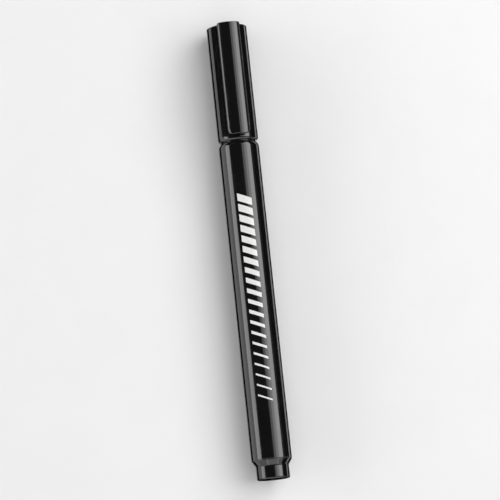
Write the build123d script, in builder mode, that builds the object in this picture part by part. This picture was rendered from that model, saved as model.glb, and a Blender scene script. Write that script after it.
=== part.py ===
"""Invisible-ink marker pen: a capped fibre-tip marker lying on its side with its pocket clip upwards.

The pen's axis runs along Y, with the tail at -Y and the cap at +Y. The origin is under the middle of the
pen, on the surface that it lies on. Distances along the pen are measured from the tail end ("station"),
and radii from the pen's axis. All sizes are millimetres.
"""

import os

from build123d import *

# Outside of the pen
pen_length = 135.0  # tail end to the crown's top
pen_diameter = 12.0  # barrel and cap are flush
cap_length = 35.0  # cap mouth to the crown's top
stub_length = 3.8  # stepped tail end
taper_length = 1.9  # from the stub up to the barrel
shoulder_length = 1.7  # rounded end of the barrel under the cap
shoulder_ledge = 0.2  # flat that is left between the shoulder's round and the neck
cap_seat_gap = 0.2  # shoulder to cap mouth

# Barrel
barrel_wall = 1.15
seam_break = 0.15  # bevel on both sides of the seam at the tail
rib_count = 6
rib_height = 0.4
rib_width = 0.8
front_wall = 1.6  # inner shoulder behind the neck
neck_length = 7.5
neck_wall = 1.1
neck_land = 1.4  # raised ring at each end of the neck
neck_relief = 0.15  # depth between the two rings

# Tail plug
spigot_length = 8.0
spigot_wall = 1.2
plug_floor = 1.6
gate_radius = 1.1  # moulding mark in the middle of the tail
gate_depth = 0.35
stub_round = 0.5
post_clearance = 0.1  # stub to the bore of a cap that is posted on it

# Ink reservoir
film_wall = 0.15
film_clearance = 0.05  # film to the barrel's ribs
fibre_clearance = 0.03  # fibre bundle to its film
end_clearance = 0.3  # reservoir to the plug and to the inner shoulder

# Nose cone and nib
nib_diameter = 3.5
nib_exposed = 4.5
nib_room = 4.5  # nib's point to the liner's floor
nib_engagement = 6.0  # length of nib inside the reservoir
nib_point_length = 2.6
nib_flat = 0.5  # radius of the blunt end
nib_hole_clearance = 0.05  # nib to the reservoir's hole
flange_thickness = 1.2
flange_inset = 0.15  # flange edge below the neck's rings
land_length = 3.0  # cylinder that the cap liner seals on
cone_step = 0.3  # cone's base below the land
cone_tip_wall = 0.6
vent_count = 3  # air grooves along the nib
vent_radius = 0.35

# Cap shell
cap_wall = 1.0
cap_clearance = 0.06  # cap bore to the neck's rings
mouth_round_depth = 0.55  # rounded outer edge of the mouth
mouth_round_length = 1.1
top_round = 0.3
liner_ledge = 0.3  # step that carries the liner

# Crown and clip
crown_height = 5.0
crown_proud = 0.25
crown_bevel = 0.2
clip_width = 6.7
clip_top_radius = 5.0  # roundness of the clip across its width
clip_thickness = 1.8
clip_gap = 1.0  # clip to cap
clip_end_gap = 1.2  # clip's free end to the cap's mouth
clip_top_inset = 0.15  # clip's upper end below the crown's top
clip_corner = 1.6  # rounded corners of the free end
clip_edge = 0.35  # rounded outer edges
root_length = 4.6  # thick root that closes the gap
root_clearance = 0.3  # root to cap shell
root_ramp = 0.8  # slope from the strip down to the root
grip_bead_offset = 3.2  # bead from the clip's free end
grip_bead_length = 1.8
grip_bead_clearance = 0.35  # bead to cap shell
pivot_drop = 2.2  # pivot below the crown's top
pivot_depth = 1.9  # pivot inside the crown's edge
pivot_bead_radius = 1.0
pivot_clearance = 0.06
tongue_thickness = 1.3
tongue_width = 4.6
tongue_clearance = 0.35  # room for the tongue to tilt
tongue_side_clearance = 0.15

# Cap liner
liner_wall = 0.7
liner_gap = 0.65  # room between the liner's cup and the cap shell
liner_floor = 0.9
liner_flange = 1.2
liner_lift = 0.8  # liner's lip above the nose flange
seal_clearance = 0.05  # liner to the nose's land
liner_running_clearance = 0.05  # liner's flange to the cap shell

# Radii that follow
pen_radius = pen_diameter / 2
bore_radius = pen_radius - barrel_wall
rib_radius = bore_radius - rib_height
film_radius = rib_radius - film_clearance
fibre_radius = film_radius - film_wall - fibre_clearance
cap_bore = pen_radius - cap_wall
crown_bore = cap_bore + liner_ledge
pivot_radius = crown_bore - pivot_depth
stub_radius = cap_bore - post_clearance
liner_radius = cap_bore - liner_gap
liner_bore = liner_radius - liner_wall
neck_radius = cap_bore - cap_clearance
neck_bore = neck_radius - neck_wall
shoulder_radius = neck_radius + shoulder_ledge
nib_radius = nib_diameter / 2
land_radius = liner_bore - seal_clearance
cone_base_radius = land_radius - cone_step
cone_tip_radius = nib_radius + cone_tip_wall
clip_under_radius = pen_radius + clip_gap
clip_apex = clip_under_radius + clip_thickness
clip_side = clip_apex - clip_top_radius + (clip_top_radius**2 - (clip_width / 2) ** 2) ** 0.5

# Stations along the pen, from the tail end
barrel_start = stub_length + taper_length
spigot_end = barrel_start + spigot_length
cap_mouth = pen_length - cap_length
neck_start = cap_mouth - cap_seat_gap
shoulder_start = neck_start - shoulder_length
neck_end = neck_start + neck_length
inner_shoulder = neck_start - front_wall
reservoir_start = spigot_end + end_clearance
reservoir_end = inner_shoulder - end_clearance
flange_end = neck_end + flange_thickness
land_end = flange_end + land_length
nib_start = reservoir_end - nib_engagement
shell_top = pen_length - crown_proud
crown_start = pen_length - crown_height
liner_end = crown_start - liner_running_clearance
ledge_station = liner_end - liner_flange
liner_floor_station = liner_end - liner_floor
liner_lip = flange_end + liner_lift
nib_tip = liner_floor_station - nib_room
cone_end = nib_tip - nib_exposed
pivot_station = pen_length - pivot_drop
clip_start = cap_mouth + clip_end_gap
clip_end = pen_length - clip_top_inset
root_start = clip_end - root_length
grip_bead_station = clip_start + grip_bead_offset

# The pen's half section: local X is the radius and local Y the station
half_section = Plane(origin=(0, -pen_length / 2, pen_radius), x_dir=(1, 0, 0), z_dir=(0, 0, 1))
pen_axis = Axis(half_section.origin, (0, 1, 0))


def across(station):
    """Plane across the pen at a station: local X is +X, local Y is up, and its normal points to the tail."""
    return Plane(half_section.from_local_coords((0, station, 0)), x_dir=(1, 0, 0), z_dir=(0, -1, 0))


def lengthwise(station, height):
    """Plane along the pen's middle, at a station and a height over its axis: local X is +Y, local Y is up."""
    return Plane(half_section.from_local_coords((0, station, height)), x_dir=(0, 1, 0), z_dir=(1, 0, 0))


def save(piece, name):
    """Name a finished piece and write it to its own file."""
    piece.part.label = name
    export_step(piece.part, f"parts/{name}.step")


os.makedirs("parts", exist_ok=True)

# Barrel: a tube with a rounded shoulder and a relieved neck, ribbed inside to hold the reservoir off the wall
with BuildPart() as barrel:
    with BuildSketch(half_section):
        with BuildLine():
            Polyline(
                (bore_radius, barrel_start),
                (pen_radius - seam_break, barrel_start),
                (pen_radius, barrel_start + seam_break),
                (pen_radius, shoulder_start),
            )
            TangentArc((pen_radius, shoulder_start), (shoulder_radius, neck_start), tangent=(0, 1))
            Polyline(
                (shoulder_radius, neck_start),
                (neck_radius, neck_start),
                (neck_radius, neck_start + neck_land),
                (neck_radius - neck_relief, neck_start + neck_land),
                (neck_radius - neck_relief, neck_end - neck_land),
                (neck_radius, neck_end - neck_land),
                (neck_radius, neck_end),
                (neck_bore, neck_end),
                (neck_bore, inner_shoulder),
                (bore_radius, inner_shoulder),
                (bore_radius, barrel_start),
            )
        make_face()
    revolve(axis=pen_axis)
    with BuildSketch(across(inner_shoulder)):
        with PolarLocations(0, rib_count):
            with Locations((rib_radius, 0)):
                Rectangle(rib_height + barrel_wall / 2, rib_width, align=(Align.MIN, Align.CENTER))
        Circle(rib_radius, mode=Mode.SUBTRACT)
    extrude(amount=inner_shoulder - spigot_end)
save(barrel, "barrel")

# Tail plug: stepped stub outside, hollow spigot pressed into the barrel
with BuildPart() as tail_plug:
    with BuildSketch(half_section):
        with BuildLine():
            Polyline(
                (0, gate_depth),
                (gate_radius, gate_depth),
                (gate_radius, 0),
                (stub_radius - stub_round, 0),
            )
            TangentArc((stub_radius - stub_round, 0), (stub_radius, stub_round), tangent=(1, 0))
            Polyline(
                (stub_radius, stub_round),
                (stub_radius, stub_length),
                (pen_radius, barrel_start - seam_break),
                (pen_radius - seam_break, barrel_start),
                (bore_radius, barrel_start),
                (bore_radius, spigot_end),
                (bore_radius - spigot_wall, spigot_end),
                (bore_radius - spigot_wall, plug_floor),
                (0, plug_floor),
                (0, gate_depth),
            )
        make_face()
    revolve(axis=pen_axis)
save(tail_plug, "tail_plug")

# Ink reservoir: a fibre bundle with a hole for the nib, wrapped in film that is open at both ends
with BuildPart() as ink_reservoir:
    with BuildSketch(across(reservoir_end)):
        Circle(fibre_radius)
    extrude(amount=reservoir_end - reservoir_start)
    with BuildSketch(across(reservoir_end)):
        Circle(nib_radius + nib_hole_clearance)
    extrude(amount=nib_engagement + nib_hole_clearance, mode=Mode.SUBTRACT)
save(ink_reservoir, "ink_reservoir")

with BuildPart() as reservoir_film:
    with BuildSketch(across(reservoir_end)):
        Circle(film_radius)
        Circle(film_radius - film_wall, mode=Mode.SUBTRACT)
    extrude(amount=reservoir_end - reservoir_start)
save(reservoir_film, "reservoir_film")

# Nose cone: holds the nib, is pressed into the neck and stops on its flange
with BuildPart() as nose_cone:
    with BuildSketch(half_section):
        with BuildLine():
            Polyline(
                (nib_radius, inner_shoulder),
                (neck_bore, inner_shoulder),
                (neck_bore, neck_end),
                (neck_radius - flange_inset, neck_end),
                (neck_radius - flange_inset, flange_end),
                (land_radius, flange_end),
                (land_radius, land_end),
                (cone_base_radius, land_end),
                (cone_tip_radius, cone_end),
                (nib_radius, cone_end),
                close=True,
            )
        make_face()
    revolve(axis=pen_axis)
    with BuildSketch(across(cone_end)):
        with PolarLocations(nib_radius, vent_count):
            Circle(vent_radius)
    extrude(amount=cone_end - inner_shoulder, mode=Mode.SUBTRACT)
save(nose_cone, "nose_cone")

# Nib: a fibre rod with a bullet point
with BuildPart() as nib:
    with BuildSketch(half_section):
        with BuildLine():
            Polyline((nib_flat, nib_tip), (0, nib_tip), (0, nib_start), (nib_radius, nib_start))
            Line((nib_radius, nib_start), (nib_radius, nib_tip - nib_point_length))
            TangentArc((nib_radius, nib_tip - nib_point_length), (nib_flat, nib_tip), tangent=(0, 1))
        make_face()
    revolve(axis=pen_axis)
save(nib, "nib")

# Cap shell: a tube with a rounded mouth, a ledge for the liner and a window for the clip's tongue
with BuildPart() as cap_shell:
    with BuildSketch(half_section):
        with BuildLine():
            Line((cap_bore, cap_mouth), (pen_radius - mouth_round_depth, cap_mouth))
            TangentArc(
                (pen_radius, cap_mouth + mouth_round_length),
                (pen_radius - mouth_round_depth, cap_mouth),
                tangent=(0, -1),
            )
            Line((pen_radius, cap_mouth + mouth_round_length), (pen_radius, shell_top - top_round))
            TangentArc(
                (pen_radius, shell_top - top_round),
                (pen_radius - top_round, shell_top),
                tangent=(0, 1),
            )
            Polyline(
                (pen_radius - top_round, shell_top),
                (crown_bore, shell_top),
                (crown_bore, ledge_station),
                (cap_bore, ledge_station),
                (cap_bore, cap_mouth),
            )
        make_face()
    revolve(axis=pen_axis)
    with BuildSketch(across(pivot_station)):
        with Locations((0, pivot_radius)):
            Rectangle(tongue_width + 2 * tongue_side_clearance, clip_apex, align=(Align.CENTER, Align.MIN))
    extrude(amount=tongue_thickness / 2 + tongue_clearance, both=True, mode=Mode.SUBTRACT)
save(cap_shell, "cap_shell")

# Crown: a plug that closes the cap, keeps the liner on its ledge and holds the clip's pivot bead
with BuildPart() as cap_crown:
    with BuildSketch(half_section):
        with BuildLine():
            Polyline(
                (0, crown_start),
                (crown_bore, crown_start),
                (crown_bore, pen_length - crown_bevel),
                (crown_bore - crown_bevel, pen_length),
                (0, pen_length),
                close=True,
            )
        make_face()
    revolve(axis=pen_axis)
    with BuildSketch(lengthwise(pivot_station, pivot_radius)):
        Circle(pivot_bead_radius + pivot_clearance)
        Rectangle(tongue_thickness + 2 * tongue_clearance, clip_apex, align=(Align.CENTER, Align.MIN))
    extrude(amount=tongue_width / 2 + tongue_side_clearance, both=True, mode=Mode.SUBTRACT)
save(cap_crown, "cap_crown")

# Pocket clip: a strip rounded across its width, with a thick root whose tongue snaps into the crown
with BuildPart() as pocket_clip:
    with BuildSketch(across(clip_end)):
        with BuildLine():
            ThreePointArc((-clip_width / 2, clip_side), (0, clip_apex), (clip_width / 2, clip_side))
            Polyline(
                (clip_width / 2, clip_side),
                (clip_width / 2, 0),
                (-clip_width / 2, 0),
                (-clip_width / 2, clip_side),
            )
        make_face()
    extrude(amount=clip_end - clip_start)
    with BuildSketch(half_section) as plan:
        with Locations((0, clip_start)):
            Rectangle(clip_width, clip_end - clip_start, align=(Align.CENTER, Align.MIN))
        fillet(plan.vertices().group_by(Axis.Y)[0], radius=clip_corner)
    extrude(amount=clip_apex, mode=Mode.INTERSECT)
    fillet(pocket_clip.faces().sort_by(Axis.Z)[-1].edges(), radius=clip_edge)
    with BuildSketch(half_section):
        with BuildLine():
            bead_start = (clip_under_radius, grip_bead_station - grip_bead_length / 2)
            bead_end = (clip_under_radius, grip_bead_station + grip_bead_length / 2)
            Polyline((0, clip_start), (clip_under_radius, clip_start), bead_start)
            ThreePointArc(bead_start, (pen_radius + grip_bead_clearance, grip_bead_station), bead_end)
            Polyline(
                bead_end,
                (clip_under_radius, root_start),
                (pen_radius + root_clearance, root_start + root_ramp),
                (pen_radius + root_clearance, clip_end),
                (0, clip_end),
                (0, clip_start),
            )
        make_face()
    revolve(axis=pen_axis, mode=Mode.SUBTRACT)
    with BuildSketch(lengthwise(pivot_station, pivot_radius)):
        Circle(pivot_bead_radius)
        Rectangle(tongue_thickness, clip_under_radius - pivot_radius, align=(Align.CENTER, Align.MIN))
    extrude(amount=tongue_width / 2, both=True)
save(pocket_clip, "pocket_clip")

# Cap liner: a cup that seals on the nose's land and hangs by its flange on the shell's ledge
with BuildPart() as cap_liner:
    with BuildSketch(half_section):
        with BuildLine():
            Polyline(
                (0, liner_end),
                (crown_bore - liner_running_clearance, liner_end),
                (crown_bore - liner_running_clearance, ledge_station),
                (liner_radius, ledge_station),
                (liner_radius, liner_lip),
                (liner_bore, liner_lip),
                (liner_bore, liner_floor_station),
                (0, liner_floor_station),
                close=True,
            )
        make_face()
    revolve(axis=pen_axis)
save(cap_liner, "cap_liner")
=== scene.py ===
# %% [markdown]
# # A capped marker pen, piece by piece
# This lesson dresses a small assembly: a slim fibre-tip marker with a flush cap and a long pocket clip. A
# measured model of the pen, the frame, already says where each piece is and how it moves. So every piece
# here is modelled in place, in metres, lying along Y with its cap towards +Y and its clip upwards. The pen
# is nearly all turned shapes, so most pieces are a half outline that is rounded at its corners and spun
# about the pen's axis.

from collections import namedtuple
from math import atan2, cos, hypot, pi, radians, sin, sqrt, tau

import bmesh
import bpy
from mathutils import Matrix, Vector


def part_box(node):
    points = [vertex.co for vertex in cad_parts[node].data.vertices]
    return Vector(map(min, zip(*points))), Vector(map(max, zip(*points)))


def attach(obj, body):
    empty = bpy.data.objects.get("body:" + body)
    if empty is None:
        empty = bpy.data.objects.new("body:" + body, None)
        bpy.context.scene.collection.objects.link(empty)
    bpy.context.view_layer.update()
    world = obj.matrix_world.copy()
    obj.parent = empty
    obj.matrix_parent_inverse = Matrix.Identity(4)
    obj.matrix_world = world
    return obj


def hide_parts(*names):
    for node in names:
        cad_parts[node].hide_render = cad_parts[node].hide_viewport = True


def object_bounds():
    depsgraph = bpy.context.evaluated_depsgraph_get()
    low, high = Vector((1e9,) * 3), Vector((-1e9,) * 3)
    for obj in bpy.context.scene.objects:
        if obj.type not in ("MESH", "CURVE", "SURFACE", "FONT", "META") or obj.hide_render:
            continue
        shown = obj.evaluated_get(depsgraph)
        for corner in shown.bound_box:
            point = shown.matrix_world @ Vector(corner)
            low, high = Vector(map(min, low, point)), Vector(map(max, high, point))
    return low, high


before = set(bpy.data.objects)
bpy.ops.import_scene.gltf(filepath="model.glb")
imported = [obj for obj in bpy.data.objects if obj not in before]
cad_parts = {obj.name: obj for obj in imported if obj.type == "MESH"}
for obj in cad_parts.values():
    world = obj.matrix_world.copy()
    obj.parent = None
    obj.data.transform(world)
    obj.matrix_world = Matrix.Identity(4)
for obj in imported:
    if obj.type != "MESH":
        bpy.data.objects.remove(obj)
measured_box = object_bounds()
print("nodes:", sorted(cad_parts))

# %% [markdown]
# ## Where things are
# The frame gives each piece's lowest and highest corner. The barrel's half width is the pen's radius, and
# since the pen lies on the floor, that is also the height of its axis. Everything else along the pen is a
# place on Y. Walls and steps that a box can't tell are named in millimetres where they are first needed.

# %% Places along the pen
MM = 0.001
pen_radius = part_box("barrel")[1].x
axis_height = pen_radius
tail_end, cap_top = measured_box[0].y, measured_box[1].y


def span(node):
    """Where a measured piece starts and ends along the pen."""
    low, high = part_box(node)
    return low.y, high.y


print("pen radius", round(pen_radius / MM, 2), "mm, length", round((cap_top - tail_end) / MM, 1), "mm")

# %% [markdown]
# ## Turning a half outline
# A moulded pen part is a body of revolution. It could be a stack of cylinders, but then every step would
# be a hard edge, and a hard edge catches no light. Instead a few vertices trace the half outline, a vertex
# bevel rounds each corner by its own amount, and one full spin with merging closes the ring. Two roundings
# have to fit on the edge between them, or the outline folds over itself, so that is tested first. The spin
# can come out inside out, so the normals are recalculated once the doubles are merged.

# %% Turn an outline
SPIN_STEPS = 120
CORNER_STEPS = 4
ARC_STEP = 0.12 * MM
TINY = 0.001 * MM
HAIR, FINE, SOFT, ROUND = 0.06 * MM, 0.12 * MM, 0.25 * MM, 0.5 * MM


def spun(outline, closed):
    """A bmesh of (radius, y, rounding) corners turned about the pen's axis."""
    bm = bmesh.new()
    corners = [bm.verts.new((radius, y, axis_height)) for radius, y, _ in outline]
    roundings = [rounding for _, _, rounding in outline]
    for start in range(len(corners) if closed else len(corners) - 1):
        end = (start + 1) % len(corners)
        edge = bm.edges.new((corners[start], corners[end]))
        assert roundings[start] + roundings[end] < edge.calc_length() + TINY, "two roundings overlap"
    for corner, rounding in zip(corners, roundings):
        if rounding > 0:
            bmesh.ops.bevel(
                bm, geom=[corner], offset=rounding, offset_type="OFFSET",
                segments=max(CORNER_STEPS, round(rounding / ARC_STEP)), profile=0.5,
                affect="VERTICES", clamp_overlap=False, material=-1,
            )
    bmesh.ops.spin(
        bm, geom=bm.verts[:] + bm.edges[:], cent=(0, 0, axis_height), axis=(0, 1, 0), dvec=(0, 0, 0),
        angle=tau, steps=SPIN_STEPS, use_merge=True, use_normal_flip=False, use_duplicate=False,
    )
    bmesh.ops.remove_doubles(bm, verts=bm.verts, dist=TINY)
    bmesh.ops.recalc_face_normals(bm, faces=bm.faces)
    return bm


print("corner roundings:", [round(size / MM, 2) for size in (HAIR, FINE, SOFT, ROUND)], "mm")

# %% [markdown]
# ## From a bmesh to a piece of the pen
# A bmesh is only a workbench. It becomes an object at the origin, with its place kept in its mesh, so that
# patterns on object coordinates stay put. Smooth shading with crisp creases suits moulded plastic, and the
# Weighted Normal modifier keeps large faces flat right up to their small roundings. A finished piece then
# rides on the body that carries it and stands for the measured solid of that name.

# %% Make and settle a piece
CREASE = radians(32)


def shade(mesh):
    """Smooth shading, with edges sharper than the crease angle kept crisp."""
    mesh.shade_smooth()
    mesh.set_sharp_from_angle(angle=CREASE)


def piece_from(bm, name):
    """Close a bmesh into a named object at the origin."""
    mesh = bpy.data.meshes.new(name)
    bm.to_mesh(mesh)
    bm.free()
    shade(mesh)
    piece = bpy.data.objects.new(name, mesh)
    bpy.context.scene.collection.objects.link(piece)
    return piece


def settle(piece, body, node):
    """Let a finished piece ride on its body and stand for its measured node, with even shading."""
    weighted = piece.modifiers.new("even_shading", "WEIGHTED_NORMAL")
    weighted.keep_sharp = True
    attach(piece, body)
    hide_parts(node)
    size = " x ".join(str(round(side / MM, 2)) for side in piece.dimensions)
    print(f"{piece.name}: {len(piece.data.polygons)} faces, {size} mm, rides on {body}")


print("crease angle", round(CREASE, 2))

# %% [markdown]
# ## Barrel
# The barrel is one long tube: a fine seam at the tail, a rounded shoulder under the cap, and a stepped
# neck with two raised rings that the cap grips. The shoulder could be many short steps of a formula. A
# single corner does it: placed where the two tangents of the round meet, it is bevelled by nearly the
# whole tangent.

# %% Barrel outline
barrel_start, neck_end = span("barrel")
cap_mouth, shell_top = span("cap_shell")
inner_shoulder, cone_end = span("nose_cone")
spigot_end = span("tail_plug")[1]
flange_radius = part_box("nose_cone")[1].x
barrel_wall, neck_wall = 1.15 * MM, 1.1 * MM
neck_land, neck_relief = 1.4 * MM, 0.15 * MM
shoulder_length, shoulder_ledge = 1.7 * MM, 0.2 * MM
flange_inset, cap_seat_gap, seam_round = 0.15 * MM, 0.2 * MM, 0.15 * MM
bore_radius = pen_radius - barrel_wall
neck_radius = flange_radius + flange_inset
neck_bore = neck_radius - neck_wall
neck_start = cap_mouth - cap_seat_gap
shoulder_radius = neck_radius + shoulder_ledge


def tangent(depth, length):
    """From a round's start to its corner, for a round that starts level and has this depth and length."""
    return hypot(depth, length) / 2 / cos(atan2(depth, length))


shoulder_tangent = tangent(pen_radius - shoulder_radius, shoulder_length)
print("neck", round(neck_radius / MM, 2), "mm, shoulder tangent", round(shoulder_tangent / MM, 2), "mm")

# %% Barrel turned
barrel_mesh = spun(
    [
        (bore_radius, barrel_start, 0),
        (pen_radius, barrel_start, seam_round),
        (pen_radius, neck_start - shoulder_length + shoulder_tangent, shoulder_tangent - 2 * HAIR),
        (shoulder_radius, neck_start, HAIR),
        (neck_radius, neck_start, 0),
        (neck_radius, neck_start + neck_land, HAIR),
        (neck_radius - neck_relief, neck_start + neck_land, HAIR),
        (neck_radius - neck_relief, neck_end - neck_land, HAIR),
        (neck_radius, neck_end - neck_land, HAIR),
        (neck_radius, neck_end, SOFT),
        (neck_bore, neck_end, FINE),
        (neck_bore, inner_shoulder, HAIR),
        (bore_radius, inner_shoulder, 0),
    ],
    closed=True,
)
print("barrel turned:", len(barrel_mesh.faces), "faces")

# %% [markdown]
# ## Ribs in the barrel
# Inside, six low ribs hold the ink reservoir off the wall, from the tail plug's spigot to the shoulder.
# They could be six separate bars, but on the real tube they grow out of the wall. So a plane cuts the bore
# where the ribs start, the bore's faces are picked by their angle, and they are extruded and drawn in
# towards the axis. The faces that they grew from would be left inside, so they are deleted.

# %% Barrel ribs
rib_count, rib_faces = 6, 3
rib_height = 0.4 * MM
bmesh.ops.bisect_plane(
    barrel_mesh, geom=barrel_mesh.verts[:] + barrel_mesh.edges[:] + barrel_mesh.faces[:],
    plane_co=(0, spigot_end, 0), plane_no=(0, 1, 0), dist=TINY,
)


def on_rib(face):
    """Whether a face of the bore is one that a rib grows from."""
    middle = face.calc_center_median()
    across, up = middle.x, middle.z - axis_height
    in_bore = bore_radius - rib_height < hypot(across, up) < bore_radius
    in_length = spigot_end < middle.y < inner_shoulder
    faces_past_rib = atan2(up, across) % (tau / rib_count) / (tau / SPIN_STEPS)
    return in_bore and in_length and faces_past_rib < rib_faces


rib_roots = [face for face in barrel_mesh.faces if on_rib(face)]
grown = bmesh.ops.extrude_face_region(barrel_mesh, geom=rib_roots)["geom"]
bmesh.ops.delete(barrel_mesh, geom=rib_roots, context="FACES")
drawn_in = (bore_radius - rib_height) / bore_radius
bmesh.ops.scale(
    barrel_mesh, vec=(drawn_in, 1, drawn_in), space=Matrix.Translation((0, 0, -axis_height)),
    verts=[part for part in grown if isinstance(part, bmesh.types.BMVert)],
)
barrel = piece_from(barrel_mesh, "barrel_tube")
settle(barrel, "pen_body", "barrel")

# %% [markdown]
# ## Tail plug
# The tail is a separate moulding: a short stub that the cap can be posted on, a cone that widens to the
# barrel, and a hollow spigot inside. The dimple in its end is where the plastic entered the mould. All of
# it could be joined from cones and cylinders, but as one outline that starts and ends on the axis, its
# roundings run on from face to face.

# %% Tail plug
cap_wall, post_clearance = 1.0 * MM, 0.1 * MM
stub_length, spigot_wall, plug_floor = 3.8 * MM, 1.2 * MM, 1.6 * MM
gate_radius, gate_depth = 1.1 * MM, 0.35 * MM
cap_bore = pen_radius - cap_wall
stub_radius = cap_bore - post_clearance
spigot_bore = bore_radius - spigot_wall
tail_mesh = spun(
    [
        (0, tail_end + gate_depth, 0),
        (gate_radius, tail_end + gate_depth, FINE),
        (gate_radius, tail_end, FINE),
        (stub_radius, tail_end, ROUND),
        (stub_radius, tail_end + stub_length, SOFT),
        (pen_radius, barrel_start - seam_round, FINE),
        (pen_radius - seam_round, barrel_start, 0),
        (bore_radius, barrel_start, 0),
        (bore_radius, spigot_end, SOFT),
        (spigot_bore, spigot_end, FINE),
        (spigot_bore, tail_end + plug_floor, ROUND),
        (0, tail_end + plug_floor, 0),
    ],
    closed=False,
)
tail_plug = piece_from(tail_mesh, "tail_stub")
settle(tail_plug, "pen_body", "tail_plug")

# %% [markdown]
# ## Nose cone
# Under the cap, a nib holder is pressed into the neck: a flange that stops it, a land that the cap's liner
# seals on, and a cone down to the nib. It is turned like the rest, as a closed outline, because the nib's
# hole runs right through it.

# %% Nose cone turned
flange_thickness, land_length = 1.2 * MM, 3.0 * MM
cup_gap, cup_wall, seal_clearance = 0.65 * MM, 0.7 * MM, 0.05 * MM
cone_step, cone_tip_wall = 0.3 * MM, 0.6 * MM
flange_end = neck_end + flange_thickness
land_end = flange_end + land_length
cup_radius = cap_bore - cup_gap
cup_bore = cup_radius - cup_wall
land_radius = cup_bore - seal_clearance
nib_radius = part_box("nib")[1].x
cone_tip_radius = nib_radius + cone_tip_wall
nose_mesh = spun(
    [
        (nib_radius, inner_shoulder, FINE),
        (neck_bore, inner_shoulder, SOFT),
        (neck_bore, neck_end, 0),
        (flange_radius, neck_end, HAIR),
        (flange_radius, flange_end, SOFT),
        (land_radius, flange_end, SOFT),
        (land_radius, land_end, FINE),
        (land_radius - cone_step, land_end, FINE),
        (cone_tip_radius, cone_end, SOFT),
        (nib_radius, cone_end, HAIR),
    ],
    closed=True,
)
nose_cone = piece_from(nose_mesh, "nib_holder")
print("nose cone:", len(nose_cone.data.polygons), "faces before the grooves")

# %% [markdown]
# ## Air grooves
# Three grooves run along the nib, so that air can enter as the ink leaves. They cross the turned faces,
# which no outline can say. A Boolean modifier with the exact solver cuts or joins a second object, and its
# result is kept as the piece's own mesh, so that no helper object stays in the scene.

# %% Cut the air grooves
def combine(piece, tool, operation):
    """Cut a tool object out of a piece, or join it on, and remove the tool."""
    boolean = piece.modifiers.new("combine", "BOOLEAN")
    boolean.object = tool
    boolean.operation = operation
    boolean.solver = "EXACT"
    bpy.context.view_layer.update()
    before = piece.data
    piece.data = bpy.data.meshes.new_from_object(piece.evaluated_get(bpy.context.evaluated_depsgraph_get()))
    piece.modifiers.remove(boolean)
    bpy.data.meshes.remove(before)
    bpy.data.objects.remove(tool)
    shade(piece.data)


def rod(name, centre, radius, length, turn, segments=32):
    """A round rod to cut or join with. The turn lays its length along the axis that is wanted."""
    bm = bmesh.new()
    bmesh.ops.create_cone(
        bm, cap_ends=True, segments=segments, radius1=radius, radius2=radius, depth=length
    )
    bmesh.ops.rotate(bm, cent=(0, 0, 0), matrix=turn, verts=bm.verts)
    bmesh.ops.translate(bm, vec=centre, verts=bm.verts)
    return piece_from(bm, name)


ALONG_PEN = Matrix.Rotation(radians(90), 3, "X")
groove_count, groove_radius, cut_spare = 3, 0.35 * MM, 2 * MM
groove_middle, groove_length = (inner_shoulder + cone_end) / 2, cone_end - inner_shoulder + cut_spare
for index in range(groove_count):
    angle = tau * index / groove_count
    centre = (nib_radius * cos(angle), groove_middle, axis_height + nib_radius * sin(angle))
    groove = rod("groove", centre, groove_radius, groove_length, ALONG_PEN, segments=16)
    combine(nose_cone, groove, "DIFFERENCE")
settle(nose_cone, "pen_body", "nose_cone")

# %% [markdown]
# ## Nib
# The nib is a rod of bonded fibre, ground to a bullet point with a small blunt end. A sphere on a cylinder
# would look like a ball-point. The real point is a long shallow round, so it takes the same tangent corner
# as the barrel's shoulder, with a soft corner at its tip.

# %% Nib
nib_start, nib_tip = span("nib")
point_length, point_flat = 2.6 * MM, 0.5 * MM
point_tangent = tangent(nib_radius - point_flat, point_length)
nib_mesh = spun(
    [
        (0, nib_start, 0),
        (nib_radius, nib_start, SOFT),
        (nib_radius, nib_tip - point_length + point_tangent, point_tangent - SOFT),
        (point_flat, nib_tip, SOFT),
        (0, nib_tip, 0),
    ],
    closed=False,
)
nib = piece_from(nib_mesh, "fibre_nib")
settle(nib, "pen_body", "nib")

# %% [markdown]
# ## Ink reservoir
# The ink is held in a bundle of fibres, with a hole in its front for the nib. It is hidden in the barrel,
# but it is there when the pen is taken apart. Its ends are soft, because cut fibre has no sharp edge.

# %% Reservoir bundle
bundle_start, bundle_end = span("ink_reservoir")
bundle_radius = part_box("ink_reservoir")[1].x
hole_clearance = 0.05 * MM
hole_radius, hole_end = nib_radius + hole_clearance, nib_start - hole_clearance
bundle_mesh = spun(
    [
        (0, bundle_start, 0),
        (bundle_radius, bundle_start, SOFT),
        (bundle_radius, bundle_end, SOFT),
        (hole_radius, bundle_end, SOFT),
        (hole_radius, hole_end, 0),
        (0, hole_end, 0),
    ],
    closed=False,
)
bundle = piece_from(bundle_mesh, "fibre_bundle")
settle(bundle, "pen_body", "ink_reservoir")

# %% [markdown]
# ## Reservoir film
# A clear film is wrapped round the bundle and open at both ends. A Solidify modifier on a tube would do,
# but four corners of an outline are as quick, and they put both walls exactly where they were measured.

# %% Reservoir film
film_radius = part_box("reservoir_film")[1].x
film_wall = 0.15 * MM
film_bore = film_radius - film_wall
film_mesh = spun(
    [
        (film_bore, bundle_start, 0),
        (film_radius, bundle_start, 0),
        (film_radius, bundle_end, 0),
        (film_bore, bundle_end, 0),
    ],
    closed=True,
)
film = piece_from(film_mesh, "bundle_film")
settle(film, "pen_body", "reservoir_film")

# %% [markdown]
# ## Cap shell
# The cap is a tube with an eased mouth, a rounded top rim and a ledge inside that carries the liner. The
# mouth's long soft edge is what the eye reads as the gap between cap and barrel, so it gets the same
# tangent corner as the shoulder that it meets.

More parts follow.
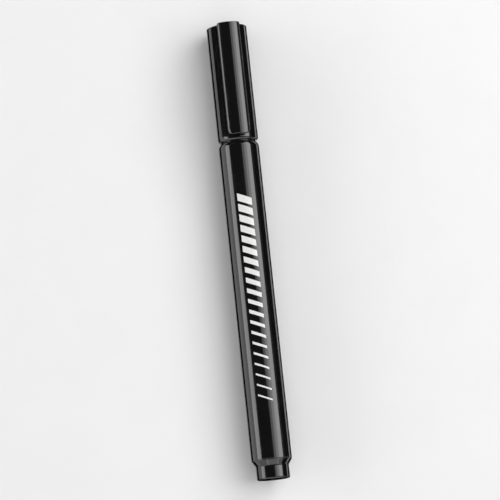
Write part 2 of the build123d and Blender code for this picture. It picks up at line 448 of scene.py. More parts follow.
# %% Cap shell turned
crown_start = span("cap_crown")[0]
crown_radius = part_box("cap_crown")[1].x
liner_lip, liner_end = span("cap_liner")
liner_flange = 1.2 * MM
ledge = liner_end - liner_flange
mouth_depth, mouth_length = 0.55 * MM, 1.1 * MM
mouth_tangent = tangent(mouth_depth, mouth_length)
shell_mesh = spun(
    [
        (cap_bore, cap_mouth, SOFT),
        (pen_radius - mouth_depth, cap_mouth, HAIR),
        (pen_radius, cap_mouth + mouth_length - mouth_tangent, mouth_tangent - 2 * HAIR),
        (pen_radius, shell_top, SOFT),
        (crown_radius, shell_top, 0),
        (crown_radius, ledge, HAIR),
        (cap_bore, ledge, HAIR),
    ],
    closed=True,
)
cap_shell = piece_from(shell_mesh, "cap_tube")
print("cap shell:", len(cap_shell.data.polygons), "faces before the window")

# %% [markdown]
# ## Window in the cap
# The clip is a separate moulding, and its tongue goes through a window near the cap's top, with room to
# tilt. The window has square sides, so a plain block cuts it.

# %% Cut the window
def block(name, low, high):
    """A plain block between two corners, to cut or join with."""
    bm = bmesh.new()
    bmesh.ops.create_cube(bm, size=1)
    low, high = Vector(low), Vector(high)
    bmesh.ops.scale(bm, vec=high - low, verts=bm.verts)
    bmesh.ops.translate(bm, vec=(low + high) / 2, verts=bm.verts)
    return piece_from(bm, name)


pivot_drop, pivot_depth = 2.2 * MM, 1.9 * MM
tongue_half, tongue_half_width = 0.65 * MM, 2.3 * MM
tilt_room, side_room = 0.35 * MM, 0.15 * MM
pivot_y, pivot_z = cap_top - pivot_drop, axis_height + crown_radius - pivot_depth
window_half, window_half_width = tongue_half + tilt_room, tongue_half_width + side_room
window_low = (-window_half_width, pivot_y - window_half, pivot_z)
window_high = (window_half_width, pivot_y + window_half, axis_height + pen_radius + cut_spare)
combine(cap_shell, block("window", window_low, window_high), "DIFFERENCE")
settle(cap_shell, "cap", "cap_shell")

# %% [markdown]
# ## Crown
# A plug closes the cap. Its face is slightly dished, with a fine raised rim and the mark of its mould
# gate, which a flat disc would lack. The same window goes on into it, and a socket across the end of the
# window takes the clip's pivot bead.

# %% Crown
rim_width, dish_depth, gate_pip = 0.9 * MM, 0.18 * MM, 0.7 * MM
crown_mesh = spun(
    [
        (0, crown_start, 0),
        (crown_radius, crown_start, SOFT),
        (crown_radius, cap_top, SOFT),
        (crown_radius - rim_width, cap_top, FINE),
        (crown_radius - rim_width - dish_depth, cap_top - dish_depth, FINE),
        (gate_pip, cap_top - dish_depth, HAIR),
        (gate_pip, cap_top - 2 * dish_depth, HAIR),
        (0, cap_top - 2 * dish_depth, 0),
    ],
    closed=False,
)
cap_crown = piece_from(crown_mesh, "cap_plug")
ACROSS_PEN = Matrix.Rotation(radians(90), 3, "Y")
pivot, bead_radius, bead_clearance = (0, pivot_y, pivot_z), 1.0 * MM, 0.06 * MM
socket = rod("socket", pivot, bead_radius + bead_clearance, 2 * window_half_width, ACROSS_PEN)
combine(cap_crown, block("slot", window_low, window_high), "DIFFERENCE")
combine(cap_crown, socket, "DIFFERENCE")
settle(cap_crown, "cap", "cap_crown")

# %% [markdown]
# ## Pocket clip
# The clip is a strip that is rounded across its width and runs the whole length of the cap. It could be
# carved from a cylinder, but its rounded free end and soft rims are easier on a flat bar. So a cube is
# scaled to the strip, and its corners and rims are bevelled while it is still flat.

# %% Flat bar with rounded corners and rims
clip_low, clip_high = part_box("pocket_clip")
clip_half_width = clip_high.x
clip_start, clip_end = clip_low.y, clip_high.y
clip_apex, clip_gap = clip_high.z - axis_height, 1.0 * MM
clip_thickness = clip_apex - pen_radius - clip_gap
clip_corner, clip_rim = 1.6 * MM, 0.2 * MM
clip_mesh = bmesh.new()
bmesh.ops.create_cube(clip_mesh, size=1)
bmesh.ops.scale(
    clip_mesh, vec=(2 * clip_half_width, clip_end - clip_start, clip_thickness), verts=clip_mesh.verts
)
bmesh.ops.translate(
    clip_mesh, vec=(0, (clip_start + clip_end) / 2, clip_thickness / 2), verts=clip_mesh.verts
)


def round_off(test, offset, segments):
    """Bevel the edges of the flat bar whose two ends both pass a test."""
    bmesh.ops.bevel(
        clip_mesh, geom=[edge for edge in clip_mesh.edges if all(test(end.co) for end in edge.verts)],
        offset=offset, offset_type="OFFSET", segments=segments, profile=0.5, affect="EDGES",
        clamp_overlap=True, material=-1,
    )


for side in (-1, 1):
    round_off(lambda co: co.x * side > 0 and co.y < clip_start + TINY, clip_corner, segments=8)
    round_off(lambda co: co.x * side > 0 and co.y > clip_end - TINY, ROUND, segments=4)
round_off(lambda co: co.z > clip_thickness - TINY, clip_rim, segments=4)
round_off(lambda co: co.z < TINY, FINE, segments=2)
print("flat bar:", len(clip_mesh.faces), "faces")

# %% [markdown]
# ## Bending the clip
# Planes slice the flat bar across and along, so that it has vertices to bend by. Then each vertex is
# lifted onto the curved section: the top half follows the clip's own round back, and the lower half
# follows the cap at a distance, which shrinks for the grip bead near the free end and closes at the root.

# %% Slice the bar
CROSS_SLICES, BEAD_SLICES = 16, 8
grip_offset, grip_half, grip_gap = 3.2 * MM, 0.9 * MM, 0.35 * MM
root_length, root_ramp, root_gap = 4.6 * MM, 0.8 * MM, 0.3 * MM
grip_y, root_start = clip_start + grip_offset, clip_end - root_length


def slice_bar(point, normal):
    """Cut the bar's faces along a plane and keep both sides."""
    bmesh.ops.bisect_plane(
        clip_mesh, geom=clip_mesh.verts[:] + clip_mesh.edges[:] + clip_mesh.faces[:], plane_co=point,
        plane_no=normal, dist=TINY,
    )


for step in range(1, CROSS_SLICES):
    slice_bar(((2 * step / CROSS_SLICES - 1) * clip_half_width, 0, 0), (1, 0, 0))
for step in range(BEAD_SLICES + 1):
    slice_bar((0, grip_y + (2 * step / BEAD_SLICES - 1) * grip_half, 0), (0, 1, 0))
for y in (root_start, root_start + root_ramp):
    slice_bar((0, y, 0), (0, 1, 0))
print("sliced bar:", len(clip_mesh.faces), "faces")

# %% Lift the bar onto its curves
clip_back_radius = 5.0 * MM
grip_depth = clip_gap - grip_gap
grip_round = (grip_depth**2 + grip_half**2) / (2 * grip_depth)


def gap_under(y):
    """Distance from the cap to the clip's underside."""
    if y > root_start:
        return clip_gap + (root_gap - clip_gap) * min(1, (y - root_start) / root_ramp)
    if abs(y - grip_y) < grip_half:
        return grip_gap + grip_round - sqrt(grip_round**2 - (y - grip_y) ** 2)
    return clip_gap


for vert in clip_mesh.verts:
    x, y, height = vert.co
    back = clip_apex - clip_back_radius + sqrt(clip_back_radius**2 - x**2)
    underside = sqrt((pen_radius + gap_under(y)) ** 2 - x**2)
    if height > clip_thickness / 2:
        vert.co.z = axis_height + back - (clip_thickness - height)
    else:
        vert.co.z = axis_height + underside + height
bmesh.ops.recalc_face_normals(clip_mesh, faces=clip_mesh.faces)
clip = piece_from(clip_mesh, "clip_strip")
print("bent clip:", round(clip.dimensions.z / MM, 2), "mm from its edges to its back")

# %% [markdown]
# ## Tongue and pivot bead
# At its root the clip has a tongue with a round bead along its end, which snaps into the crown's socket. A
# block and a rod are joined to each other and then to the strip, so that the clip is one closed mesh.

# %% Join the tongue
tongue_reach, bead_inset = 0.9 * MM, 0.02 * MM
tongue = block(
    "tongue",
    (-tongue_half_width, pivot_y - tongue_half, pivot_z),
    (tongue_half_width, pivot_y + tongue_half, axis_height + pen_radius + tongue_reach),
)
bead = rod("bead", pivot, bead_radius, 2 * tongue_half_width - bead_inset, ACROSS_PEN)
combine(tongue, bead, "UNION")
combine(clip, tongue, "UNION")
settle(clip, "clip", "pocket_clip")

# %% [markdown]
# ## Cap liner
# Inside the cap, a milky cup seals on the nose so that the nib doesn't dry. Its lip has a lead-in, its
# floor is rounded so that it comes off the mould, and its flange hangs on the shell's ledge.

# %% Cap liner
liner_flange_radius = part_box("cap_liner")[1].x
cup_floor_thickness, cup_floor_round = 0.9 * MM, 0.8 * MM
liner_floor = liner_end - cup_floor_thickness
liner_mesh = spun(
    [
        (0, liner_end, 0),
        (liner_flange_radius, liner_end, FINE),
        (liner_flange_radius, ledge, FINE),
        (cup_radius, ledge, SOFT),
        (cup_radius, liner_lip, FINE),
        (cup_bore, liner_lip, SOFT),
        (cup_bore, liner_floor, cup_floor_round),
        (0, liner_floor, 0),
    ],
    closed=False,
)
liner = piece_from(liner_mesh, "seal_cup")
settle(liner, "liner", "cap_liner")

# %% [markdown]
# ## Working with nodes
# The finishes are node trees. Wired by hand in the editor they are quick to try, but in a script each node
# takes several lines. These helpers add a node and fill or link its inputs in one call, so that a finish
# reads as a few steps: noise, remap, blend.

# %% Node helpers
def add(tree, kind, inputs=None, **settings):
    """Add a node, set it up, and link or fill its inputs by name or number."""
    made = tree.nodes.new(kind)
    for key, value in settings.items():
        setattr(made, key, value)
    for key, value in (inputs or {}).items():
        if isinstance(value, bpy.types.NodeSocket):
            tree.links.new(value, made.inputs[key])
        else:
            made.inputs[key].default_value = value
    return made


def calc(tree, operation, first, second=0.0, third=0.0):
    """One Math node's result."""
    return add(tree, "ShaderNodeMath", {0: first, 1: second, 2: third}, operation=operation).outputs[0]


def remap(tree, value, low, high, out_low=0.0, out_high=1.0):
    """A value eased from one range into another, clamped at both ends."""
    return add(
        tree, "ShaderNodeMapRange",
        {"Value": value, "From Min": low, "From Max": high, "To Min": out_low, "To Max": out_high},
        interpolation_type="SMOOTHSTEP",
    ).outputs["Result"]


def blend(tree, factor, first, second):
    """Two colours mixed by a factor."""
    mix = add(tree, "ShaderNodeMix", {"Factor": factor}, data_type="RGBA")
    colours = [socket for socket in mix.inputs if socket.type == "RGBA"]
    for socket, value in zip(colours, (first, second)):
        if isinstance(value, bpy.types.NodeSocket):
            tree.links.new(value, socket)
        else:
            socket.default_value = (*value, 1)
    return next(socket for socket in mix.outputs if socket.type == "RGBA")


print("node helpers ready")

# %% Noise at a real size
def object_place(tree):
    """The point on the piece, in metres."""
    return add(tree, "ShaderNodeTexCoord").outputs["Object"]


def stretched(tree, place, scale, turn=(0, 0, 0)):
    """A place that is turned and scaled, so that a noise on it is drawn out along an axis."""
    inputs = {"Vector": place, "Rotation": turn, "Scale": scale}
    return add(tree, "ShaderNodeMapping", inputs).outputs["Vector"]


def noise(tree, place, size, detail, **more):
    """Noise with cells of about this size in metres. The size is a number or a socket."""
    scale = calc(tree, "DIVIDE", 1.0, size) if isinstance(size, bpy.types.NodeSocket) else 1 / size
    inputs = {"Vector": place, "Scale": scale, "Detail": detail, **more}
    return add(tree, "ShaderNodeTexNoise", inputs).outputs["Fac"]


def new_group(name, inputs, outputs):
    """A shader node group with named float inputs and outputs."""
    tree = bpy.data.node_groups.new(name, "ShaderNodeTree")
    for label, value in inputs.items():
        socket = tree.interface.new_socket(name=label, in_out="INPUT", socket_type="NodeSocketFloat")
        socket.default_value = value
    for label in outputs:
        tree.interface.new_socket(name=label, in_out="OUTPUT", socket_type="NodeSocketFloat")
    return tree, tree.nodes.new("NodeGroupInput").outputs, tree.nodes.new("NodeGroupOutput").inputs


print("noise helpers ready")

# %% [markdown]
# ## Moulded skin
# Plain black looks like a hole unless its surface has something to say. Moulded plastic has a faint flow
# tone, smudges that dull it in patches, hairline scratches where it has been handled, and a soft waviness.
# Every plastic piece shares these, so they are one node group, placed in each material with its own sizes.
# The hairlines are noises drawn out along the pen and across it, and they gather where the smudges are.

# %% Moulded skin
skin_group, skin_in, skin_out = new_group(
    "moulded_skin",
    {"Smudge Size": 9 * MM, "Hairline Strength": 1.0, "Wave Size": 5 * MM},
    ("Smudge", "Hairline", "Tone", "Height"),
)
skin_place = object_place(skin_group)
smudges = noise(skin_group, skin_place, skin_in["Smudge Size"], 5.0, Roughness=0.62, Distortion=0.4)
smudges = remap(skin_group, smudges, 0.42, 0.68)
along_place = stretched(skin_group, skin_place, (1, 0.035, 1))
crossing_place = stretched(skin_group, skin_place, (0.05, 1, 0.6), turn=(0.3, 0.2, 0.9))
lengthwise = noise(skin_group, along_place, 0.14 * MM, 2.0)
crossing = noise(skin_group, crossing_place, 0.2 * MM, 1.0)
hairlines = calc(
    skin_group, "MAXIMUM",
    remap(skin_group, lengthwise, 0.66, 0.74), remap(skin_group, crossing, 0.72, 0.78),
)
hairlines = calc(skin_group, "MULTIPLY", hairlines, smudges)
hairlines = calc(skin_group, "MULTIPLY", hairlines, skin_in["Hairline Strength"])
waves = noise(skin_group, skin_place, skin_in["Wave Size"], 1.0)
scratch_share = 0.12
skin_height = calc(skin_group, "SUBTRACT", waves, calc(skin_group, "MULTIPLY", hairlines, scratch_share))
skin_group.links.new(smudges, skin_out["Smudge"])
skin_group.links.new(hairlines, skin_out["Hairline"])
skin_group.links.new(noise(skin_group, skin_place, 1.1 * MM, 3.0), skin_out["Tone"])
skin_group.links.new(skin_height, skin_out["Height"])
print("moulded_skin group:", len(skin_group.nodes), "nodes")

# %% [markdown]
# ## Rubbed edges
# Edges that meet a hand or the other half of the pen are rubbed a little paler and rougher. A pointiness
# node could find them, but it depends on how dense the mesh is. On a turned piece an edge is a circle: a
# place on Y and a radius. The distance to that circle, broken up by a fine noise, says where the rubbing
# is.

# %% Rubbed edge
edge_group, edge_in, edge_out = new_group(
    "rubbed_edge", {"Place": 0.0, "Radius": pen_radius, "Reach": 0.5 * MM}, ("Mask",)
)


def length_of(tree, first, second):
    """The long side of a right angle."""
    squares = calc(tree, "MULTIPLY_ADD", first, first, calc(tree, "MULTIPLY", second, second))
    return calc(tree, "SQRT", squares)


edge_place = object_place(edge_group)
edge_x, edge_y, edge_z = add(edge_group, "ShaderNodeSeparateXYZ", {"Vector": edge_place}).outputs
out_from_axis = length_of(edge_group, edge_x, calc(edge_group, "SUBTRACT", edge_z, axis_height))
off_edge = length_of(
    edge_group,
    calc(edge_group, "SUBTRACT", out_from_axis, edge_in["Radius"]),
    calc(edge_group, "SUBTRACT", edge_y, edge_in["Place"]),
)
nearness = calc(edge_group, "SUBTRACT", 1.0, calc(edge_group, "DIVIDE", off_edge, edge_in["Reach"]))
grit = noise(edge_group, edge_place, 0.33 * MM, 4.0)
rubbing = calc(edge_group, "MULTIPLY", calc(edge_group, "MAXIMUM", nearness, 0.0), grit)
edge_group.links.new(remap(edge_group, rubbing, 0.12, 0.5), edge_out["Mask"])
print("rubbed_edge group:", len(edge_group.nodes), "nodes")

# %% [markdown]
# ## From nodes to a material
# Every finish starts as an empty material with one shader, gets the shared groups with its own values, and
# is linked to the shader's inputs by name. A bump takes its height as a depth in metres, so that it stays
# true to size on a small object, where a plain strength would be far too coarse.

# %% Material helpers
def new_material(name):
    """An empty node material with its shader, ready to be fed."""
    material = bpy.data.materials.new(name)
    material.use_nodes = True
    return material, material.node_tree, material.node_tree.nodes["Principled BSDF"]


def label_for(word):
    """A socket's label from a plain word, such as Base Color from base_color."""
    return word.replace("_", " ").title()


def placed(tree, group, **values):
    """Place a node group in a material with its own values, and give its outputs."""
    made = add(tree, "ShaderNodeGroup", node_tree=group)
    for word, value in values.items():
        made.inputs[label_for(word)].default_value = value
    return made.outputs


def feed(tree, shader, **sockets):
    """Link values into the shader's inputs."""
    for word, socket in sockets.items():
        tree.links.new(socket, shader.inputs[label_for(word)])


def bumped(tree, height, depth, **more):
    """The normal of a surface that is raised by a height of up to this depth in metres."""
    inputs = {"Height": height, "Strength": 1.0, "Distance": depth, **more}
    return add(tree, "ShaderNodeBump", inputs).outputs["Normal"]


print("material helpers ready")

# %% [markdown]
# ## Black plastic
# The pen's outside is glossy black polypropylene, and its nose a satin one. One shiny lobe looks like
# glass, so a nearly black body with a soft lobe lies under a clear coat with a sharp one. Numbers that are
# the same all over are set on the shader itself, and only what varies over the surface is linked.

# %% Black plastic
RUB_REACH = 0.55 * MM
DEEP_BLACK, PALE_BLACK = (0.0030, 0.0030, 0.0034), (0.0054, 0.0053, 0.0056)
SCRATCH_GREY, RUBBED_GREY = (0.03, 0.03, 0.031), (0.05, 0.05, 0.052)
SMUDGE_DULLING, RUB_DULLING, RUB_SHARE = 0.07, 0.18, 0.5
Finish = namedtuple("Finish", "material tree shader colour roughness normal")


def black_plastic(name, edges, roughness, coat, wave_depth, **skin_values):
    """Moulded black plastic with smudges, hairlines and rubbed edges."""
    material, tree, shader = new_material(name)
    skin = placed(tree, skin_group, **skin_values)
    rubbed = 0.0
    for place, radius in edges:
        mask = placed(tree, edge_group, place=place, radius=radius, reach=RUB_REACH)["Mask"]
        rubbed = calc(tree, "MAXIMUM", mask, rubbed)
    colour = blend(tree, skin["Tone"], DEEP_BLACK, PALE_BLACK)
    colour = blend(tree, skin["Hairline"], colour, SCRATCH_GREY)
    colour = blend(tree, calc(tree, "MULTIPLY", rubbed, RUB_SHARE), colour, RUBBED_GREY)
    dull = remap(tree, skin["Smudge"], 0.0, 1.0, roughness, roughness + SMUDGE_DULLING)
    dull = calc(tree, "MULTIPLY_ADD", rubbed, RUB_DULLING, dull)
    normal = bumped(tree, skin["Height"], wave_depth)
    feed(tree, shader, base_color=colour, roughness=dull, normal=normal)
    shader.inputs["Specular IOR Level"].default_value = 0.35
    shader.inputs["Coat Weight"].default_value = coat
    shader.inputs["Coat Roughness"].default_value = 0.05
    return Finish(material, tree, shader, colour, dull, normal)


print("rubbing reaches", round(RUB_REACH / MM, 2), "mm from an edge")

# %% Cap, clip, tail and nose
mouth_edge = (cap_mouth + 0.3 * MM, pen_radius - 0.2 * MM)
stub_edge = (tail_end + 0.1 * MM, stub_radius)
cap_edges = [mouth_edge, (shell_top, pen_radius), (cap_top, crown_radius)]
cap_black = black_plastic(
    "gloss_black_cap", cap_edges, roughness=0.13, coat=1.0, wave_depth=0.004 * MM,
    smudge_size=9 * MM, hairline_strength=1.0, wave_size=5 * MM,
)
clip_edges = [(clip_start, clip_apex)]
clip_black = black_plastic(
    "gloss_black_clip", clip_edges, roughness=0.13, coat=1.0, wave_depth=0.004 * MM,
    smudge_size=6 * MM, hairline_strength=1.2, wave_size=7 * MM,
)
tail_edges = [stub_edge, (barrel_start, pen_radius)]
tail_black = black_plastic(
    "gloss_black_tail", tail_edges, roughness=0.15, coat=1.0, wave_depth=0.004 * MM,
    smudge_size=5 * MM, hairline_strength=0.8, wave_size=4 * MM,
)
nose_edges = [(flange_end, flange_radius), (cone_end, cone_tip_radius)]
nose_black = black_plastic(
    "satin_black_nose", nose_edges, roughness=0.38, coat=0.2, wave_depth=0.003 * MM,
    smudge_size=4 * MM, hairline_strength=0.3, wave_size=2.5 * MM,
)
print("black plastics:", [m.name for m in bpy.data.materials if "_black_" in m.name])

# %% [markdown]
# ## Printed bars
# The barrel carries a white print, a row of slanted bars that thin out towards the tail. A print could be
# an image or a decal mesh, but bars are only arithmetic: the distance round the barrel and the distance
# along it, folded into repeats. A bar's number is the whole part of the repeat, and it sets how thick the
# bar is.

# %% Place on the barrel
barrel_edges = [(barrel_start, pen_radius), (neck_start, shoulder_radius), (neck_end, neck_radius)]
barrel_black = black_plastic(
    "gloss_black_barrel", barrel_edges, roughness=0.13, coat=1.0, wave_depth=0.004 * MM,
    smudge_size=12 * MM, hairline_strength=1.0, wave_size=6 * MM,
)
print_offset, print_half_height, print_turn = 21.9 * MM, 2.1 * MM, radians(-4)
print_start = tail_end + print_offset
inked = barrel_black.tree
barrel_place = object_place(inked)
barrel_x, barrel_y, barrel_z = add(inked, "ShaderNodeSeparateXYZ", {"Vector": barrel_place}).outputs
from_top = calc(inked, "ARCTAN2", barrel_x, calc(inked, "SUBTRACT", barrel_z, axis_height))
round_barrel = calc(inked, "MULTIPLY", calc(inked, "SUBTRACT", from_top, print_turn), pen_radius)
along_print = calc(inked, "SUBTRACT", barrel_y, print_start)
print("print starts", round((print_start - tail_end) / MM, 1), "mm from the tail")

# %% Slanted bars
bar_count, bar_pitch, bar_slant = 20, 3.08 * MM, 0.42
thinnest_share, thickest_share = 0.16, 0.72
ink_edge = 0.06 * MM

slanted = calc(inked, "MULTIPLY_ADD", round_barrel, bar_slant, along_print)
repeat = calc(inked, "DIVIDE", slanted, bar_pitch)
bar_number = calc(inked, "FLOOR", repeat)
off_middle = calc(inked, "ABSOLUTE", calc(inked, "SUBTRACT", calc(inked, "FRACT", repeat), 0.5))
bar_share = remap(inked, bar_number, 0.0, bar_count, thinnest_share, thickest_share)
inside_bar = calc(inked, "SUBTRACT", calc(inked, "MULTIPLY", bar_share, 0.5), off_middle)
inside_bar = calc(inked, "MULTIPLY", inside_bar, bar_pitch)
inside_height = calc(inked, "SUBTRACT", print_half_height, calc(inked, "ABSOLUTE", round_barrel))
inside = remap(inked, calc(inked, "MINIMUM", inside_bar, inside_height), -ink_edge / 2, ink_edge / 2)
off_row = calc(inked, "ABSOLUTE", calc(inked, "SUBTRACT", bar_number, (bar_count - 1) / 2))
bars = calc(inked, "MULTIPLY", inside, calc(inked, "LESS_THAN", off_row, bar_count / 2))
print("print:", bar_count, "bars over", round(bar_count * bar_pitch / MM, 1), "mm")

# %% [markdown]
# ## White ink
# Screen-printed ink lies on the plastic as a thin layer: slightly raised, less glossy, and pricked with
# pinholes. So the bars feed the colour, the roughness, the coat and a second bump on top of the first one.

# %% White ink
pinhole_size, ink_depth = 0.11 * MM, 0.012 * MM
ink_dulling, ink_coat = 0.2, 0.35
specks = noise(inked, barrel_place, pinhole_size, 3.0)
ink = calc(inked, "MULTIPLY", bars, remap(inked, specks, 0.26, 0.36))
ink_tone = blend(inked, specks, (0.78, 0.78, 0.76), (0.86, 0.86, 0.85))
feed(
    inked, barrel_black.shader,
    base_color=blend(inked, ink, barrel_black.colour, ink_tone),
    roughness=calc(inked, "MULTIPLY_ADD", ink, ink_dulling, barrel_black.roughness),
    coat_weight=remap(inked, ink, 0.0, 1.0, 1.0, ink_coat),
    normal=bumped(inked, ink, ink_depth, Normal=barrel_black.normal),
)
print("printed barrel:", len(inked.nodes), "nodes")

# %% [markdown]
# ## Fibre
# The nib and the bundle are bonded fibres that run along the pen. Real strands would be thousands of
# curves, too fine to see, so a noise that is drawn out along Y gives the streaks, and its bump the felted
# surface.

# %% Fibre
def fibre(name, dark, pale, depth):
    """Bonded fibre: fine streaks along the pen with a felted bump."""
    material, tree, shader = new_material(name)
    drawn_out = stretched(tree, object_place(tree), (1, 0.12, 1))
    streaks = noise(tree, drawn_out, 0.11 * MM, 4.0, Roughness=0.7)
    feed(
        tree, shader,
        base_color=blend(tree, remap(tree, streaks, 0.3, 0.7), dark, pale),
        roughness=remap(tree, streaks, 0.0, 1.0, 0.75, 0.95),
        normal=bumped(tree, streaks, depth),
    )
    return material


nib_felt = fibre("nib_felt", (0.66, 0.64, 0.56), (0.86, 0.85, 0.79), 0.05 * MM)
bundle_fibre = fibre("bundle_fibre", (0.70, 0.69, 0.64), (0.88, 0.87, 0.83), 0.08 * MM)
print("fibres:", nib_felt.name, bundle_fibre.name)

# %% [markdown]
# ## Liner and film
# The liner is milky polyethylene: some light goes in and comes out again nearby, which is subsurface
# scattering with a radius of about its wall. The film is clear, so it is all transmission, with a faint
# tone. Both take their unevenness from the moulded skin, without its scratches.

# %% Liner and film
scatter_radius = 1.0 * MM
liner_milky, tree, shader = new_material("liner_milky")
skin = placed(tree, skin_group, smudge_size=4 * MM, hairline_strength=0.0, wave_size=3 * MM)
feed(
    tree, shader,
    base_color=blend(tree, skin["Tone"], (0.74, 0.75, 0.72), (0.84, 0.85, 0.83)),
    roughness=remap(tree, skin["Smudge"], 0.0, 1.0, 0.32, 0.45),
    normal=bumped(tree, skin["Height"], 0.003 * MM),
)
shader.inputs["Subsurface Weight"].default_value = 0.3
shader.inputs["Subsurface Radius"].default_value = (scatter_radius, scatter_radius, scatter_radius)

clear_film, tree, shader = new_material("clear_film")
skin = placed(tree, skin_group, smudge_size=3 * MM, hairline_strength=0.0, wave_size=8 * MM)
feed(
    tree, shader,
    base_color=blend(tree, skin["Tone"], (0.90, 0.93, 0.95), (0.97, 0.98, 0.98)),
    roughness=remap(tree, skin["Smudge"], 0.0, 1.0, 0.08, 0.2),
)
shader.inputs["Transmission Weight"].default_value = 1.0
shader.inputs["IOR"].default_value = 1.45
print("liner and film:", liner_milky.name, clear_film.name)

# %% [markdown]
# ## Dressing the pieces
# Each piece has one finish. The crown is moulded with the cap's plastic, so the two share a material, and
# the rubbed edges of both are in it.

# %% Give each piece its finish
for piece, material in (
    (barrel, barrel_black.material),
    (tail_plug, tail_black.material),
    (nose_cone, nose_black.material),
    (nib, nib_felt),
    (bundle, bundle_fibre),
    (film, clear_film),
    (cap_shell, cap_black.material),
    (cap_crown, cap_black.material),
    (clip, clip_black.material),
    (liner, liner_milky),
):
    piece.data.materials.clear()
    piece.data.materials.append(material)
    print(piece.name, "is dressed in", material.name)

# %% [markdown]
# ## Floor
# A pale paper floor carries the shadow. A backdrop that curves up would do as well, but with a floor of a
# metre or so, a low camera sees the pale sky beyond it.

# %% Floor
floor_size = 1.2
floor_mesh = bmesh.new()
bmesh.ops.create_grid(floor_mesh, x_segments=1, y_segments=1, size=floor_size / 2)
floor = piece_from(floor_mesh, "floor")
floor_paper, tree, shader = new_material("floor_paper")
grain = noise(tree, object_place(tree), 17 * MM, 4.0)
feed(tree, shader, base_color=blend(tree, grain, (0.86, 0.86, 0.86), (0.9, 0.9, 0.9)))
shader.inputs["Roughness"].default_value = 0.9
shader.inputs["Specular IOR Level"].default_value = 0.1
floor.data.materials.append(floor_paper)
print("floor", floor_size, "m")

# %% [markdown]
# ## Soft boxes
# Black gloss shows what is round it more than its own colour, so each light is placed for the band that it
# draws on the pen. Three boxes to the right share one lower edge, each narrower than the last, so the main
# band brightens step by step and ends crisply. A low one to the left draws the barrel's left band and the
# line along the clip. These four reach further past the cap than past the tail, because the barrel's round
# shoulder mirrors what lies beyond the cap, and its bands should run on over it. Two beyond the tail light
# the faces that look that way. The fill overhead isn't mirrored in gloss: it only lifts the shadow, so
# that the pen's outline stays clear.

# %% Soft boxes
def soft_box(name, direction, distance, across, along, radiance, shift=0.0, mirrored=True):
    """An area light that faces the pen from a direction, with one side level with the pen's length."""
    light = bpy.data.lights.new(name, "AREA")
    light.shape = "RECTANGLE"
    light.size, light.size_y = across, along
    light.energy = radiance * pi * across * along
    box = bpy.data.objects.new(name, light)
    away = Vector(direction)
    side = Vector((0, 1, 0)).cross(away).normalized()
    turn = Matrix((side, away.cross(side), away)).transposed()
    box.matrix_world = Matrix.Translation(Vector((0, shift, axis_height)) + away * distance) @ turn.to_4x4()
    box.visible_camera = False
    box.visible_glossy = mirrored
    bpy.context.scene.collection.objects.link(box)
    print(name, across, "x", along, "m")


def leaning(sideways, tailward=0.0):
    """A direction that leans from straight up by degrees towards +X, and then towards the tail."""
    across, back = radians(sideways), radians(tailward)
    return sin(across) * cos(back), -sin(back), cos(across) * cos(back)


past_cap = 0.33
soft_box("key_wide", leaning(38), 0.85, across=0.85, along=1.2, radiance=1.1, shift=past_cap)
soft_box("key_half", leaning(44.5), 0.8, across=0.57, along=1.15, radiance=1.2, shift=past_cap)
soft_box("key_core", leaning(52), 0.75, across=0.32, along=1.1, radiance=1.3, shift=past_cap)
soft_box("edge_box", leaning(-74), 0.8, across=0.36, along=1.4, radiance=2.8, shift=past_cap)
soft_box("tail_box", leaning(0, 58), 0.85, across=2.2, along=0.28, radiance=1.15)
soft_box("tail_low", leaning(0, 74), 0.9, across=2.6, along=0.3, radiance=0.8)
soft_box("fill", leaning(0), 1.0, across=1.6, along=1.6, radiance=0.5, mirrored=False)

# %% [markdown]
# ## Black flags
# A pale floor is mirrored along the sides of black gloss and turns them grey. A studio stands black cards,
# called flags, beside such an object, so that its edges have something dark to show. A darker floor would
# do that too, but all round. These stand close to the pen, and only reflections show them: a low pair
# along both sides, a high one along the right and one along the cap's left, which leaves its mouth free.
# The slit between low and high leaves a fine pale line near the rim. A card that lies behind the tail
# darkens its end.

# %% Black flags
flag_black, _, shader = new_material("flag_black")
shader.inputs["Base Color"].default_value = (0, 0, 0, 1)
shader.inputs["Specular IOR Level"].default_value = 0
flag_off, flag_thickness, flag_spare = 9 * MM, 0.1 * MM, 10 * MM
mouth_free = 2.2 * MM


def flag(name, low, high):
    """A black card between two corners that is only seen in reflections."""
    card = block(name, low, high)
    card.data.materials.append(flag_black)
    card.visible_camera = False
    card.visible_diffuse = False
    card.visible_transmission = False
    card.visible_shadow = False
    print(name, [round(side / MM, 1) for side in card.dimensions], "mm")


for name, side, start, foot, top in (
    ("right_low", 1, tail_end - flag_spare, 0, 5.5 * MM),
    ("right_high", 1, tail_end - flag_spare, 7.5 * MM, 12 * MM),
    ("left_low", -1, tail_end - flag_spare, 0, 5.5 * MM),
    ("left_high", -1, cap_mouth + mouth_free, 8.4 * MM, 14.4 * MM),
):
    near, far = sorted((side * flag_off, side * (flag_off + flag_thickness)))
    flag(name, (near, start, foot), (far, cap_top + flag_spare, top))
flag("tail_flat", (-flag_off, tail_end - flag_spare, 0), (flag_off, tail_end, flag_thickness))

# %% [markdown]
# ## Sky
# The sky is dark overhead, which keeps the middle of the pen black, and pale at the horizon, which draws
# the thin lines at its edges. A plain grey world would wash both out, so a colour ramp runs up the sky's
# height.

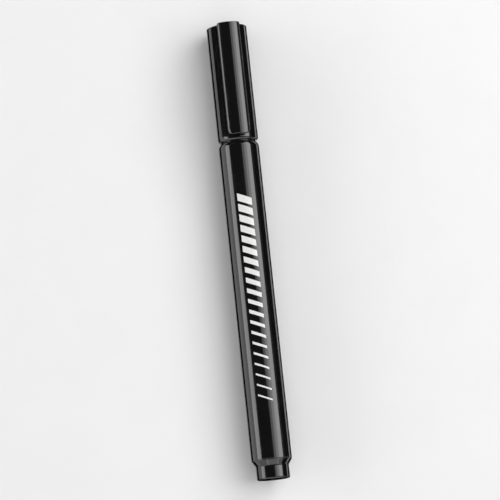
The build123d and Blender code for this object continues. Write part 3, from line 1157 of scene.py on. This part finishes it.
# %% Sky
world = bpy.data.worlds.new("studio")
bpy.context.scene.world = world
world.use_nodes = True
sky = world.node_tree
sky_place = add(sky, "ShaderNodeTexCoord").outputs["Generated"]
sky_height = add(sky, "ShaderNodeSeparateXYZ", {"Vector": sky_place}).outputs["Z"]
glow = add(sky, "ShaderNodeValToRGB", {"Fac": sky_height})
ramp = glow.color_ramp
ramp.interpolation = "EASE"


def grey(level):
    """A grey of this level, as a colour."""
    return level, level, level, 1


ramp.elements[0].color = grey(0.95)
ramp.elements[1].position, ramp.elements[1].color = 0.7, grey(0.03)
for height, level in ((0.07, 0.45), (0.22, 0.1)):
    ramp.elements.new(height).color = grey(level)
sky.links.new(glow.outputs["Color"], sky.nodes["Background"].inputs["Color"])
print("sky stops:", [(round(stop.position, 2), round(stop.color[0], 2)) for stop in ramp.elements])

# %% [markdown]
# ## Camera
# The pen is seen from nearly straight above, a little from its tail and a little from the left, with the
# cap at the top of the picture and the tail leaning to the right. A long lens from far away keeps it from
# tapering. The lens follows from the share of the picture that the pen's length should take.

# %% Camera
look_left, look_tail, picture_lean = radians(5), radians(8.5), radians(6)
camera_distance, pen_share, sensor = 0.85, 0.92, 36

camera_data = bpy.data.cameras.new("camera")
camera = bpy.data.objects.new("camera", camera_data)
bpy.context.scene.collection.objects.link(camera)
bpy.context.scene.camera = camera
middle = (measured_box[0] + measured_box[1]) / 2
away = Vector((-sin(look_left) * cos(look_tail), -sin(look_tail), cos(look_left) * cos(look_tail)))
level_right = Vector((0, 1, 0)).cross(away).normalized()
level_up = away.cross(level_right)
leaned_up = level_up * cos(picture_lean) + level_right * sin(picture_lean)
camera_turn = Matrix((leaned_up.cross(away), leaned_up, away)).transposed()
camera.matrix_world = Matrix.Translation(middle + away * camera_distance) @ camera_turn.to_4x4()
camera_data.sensor_width = sensor
camera_data.lens = sensor * pen_share * camera_distance / (cap_top - tail_end)
camera_data.clip_start = 0.01
print("lens", round(camera_data.lens, 1), "mm")

# %% [markdown]
# ## Finish
# The Standard view transform shows colours as they are written.

# %% Finish
bpy.context.scene.view_settings.view_transform = "Standard"
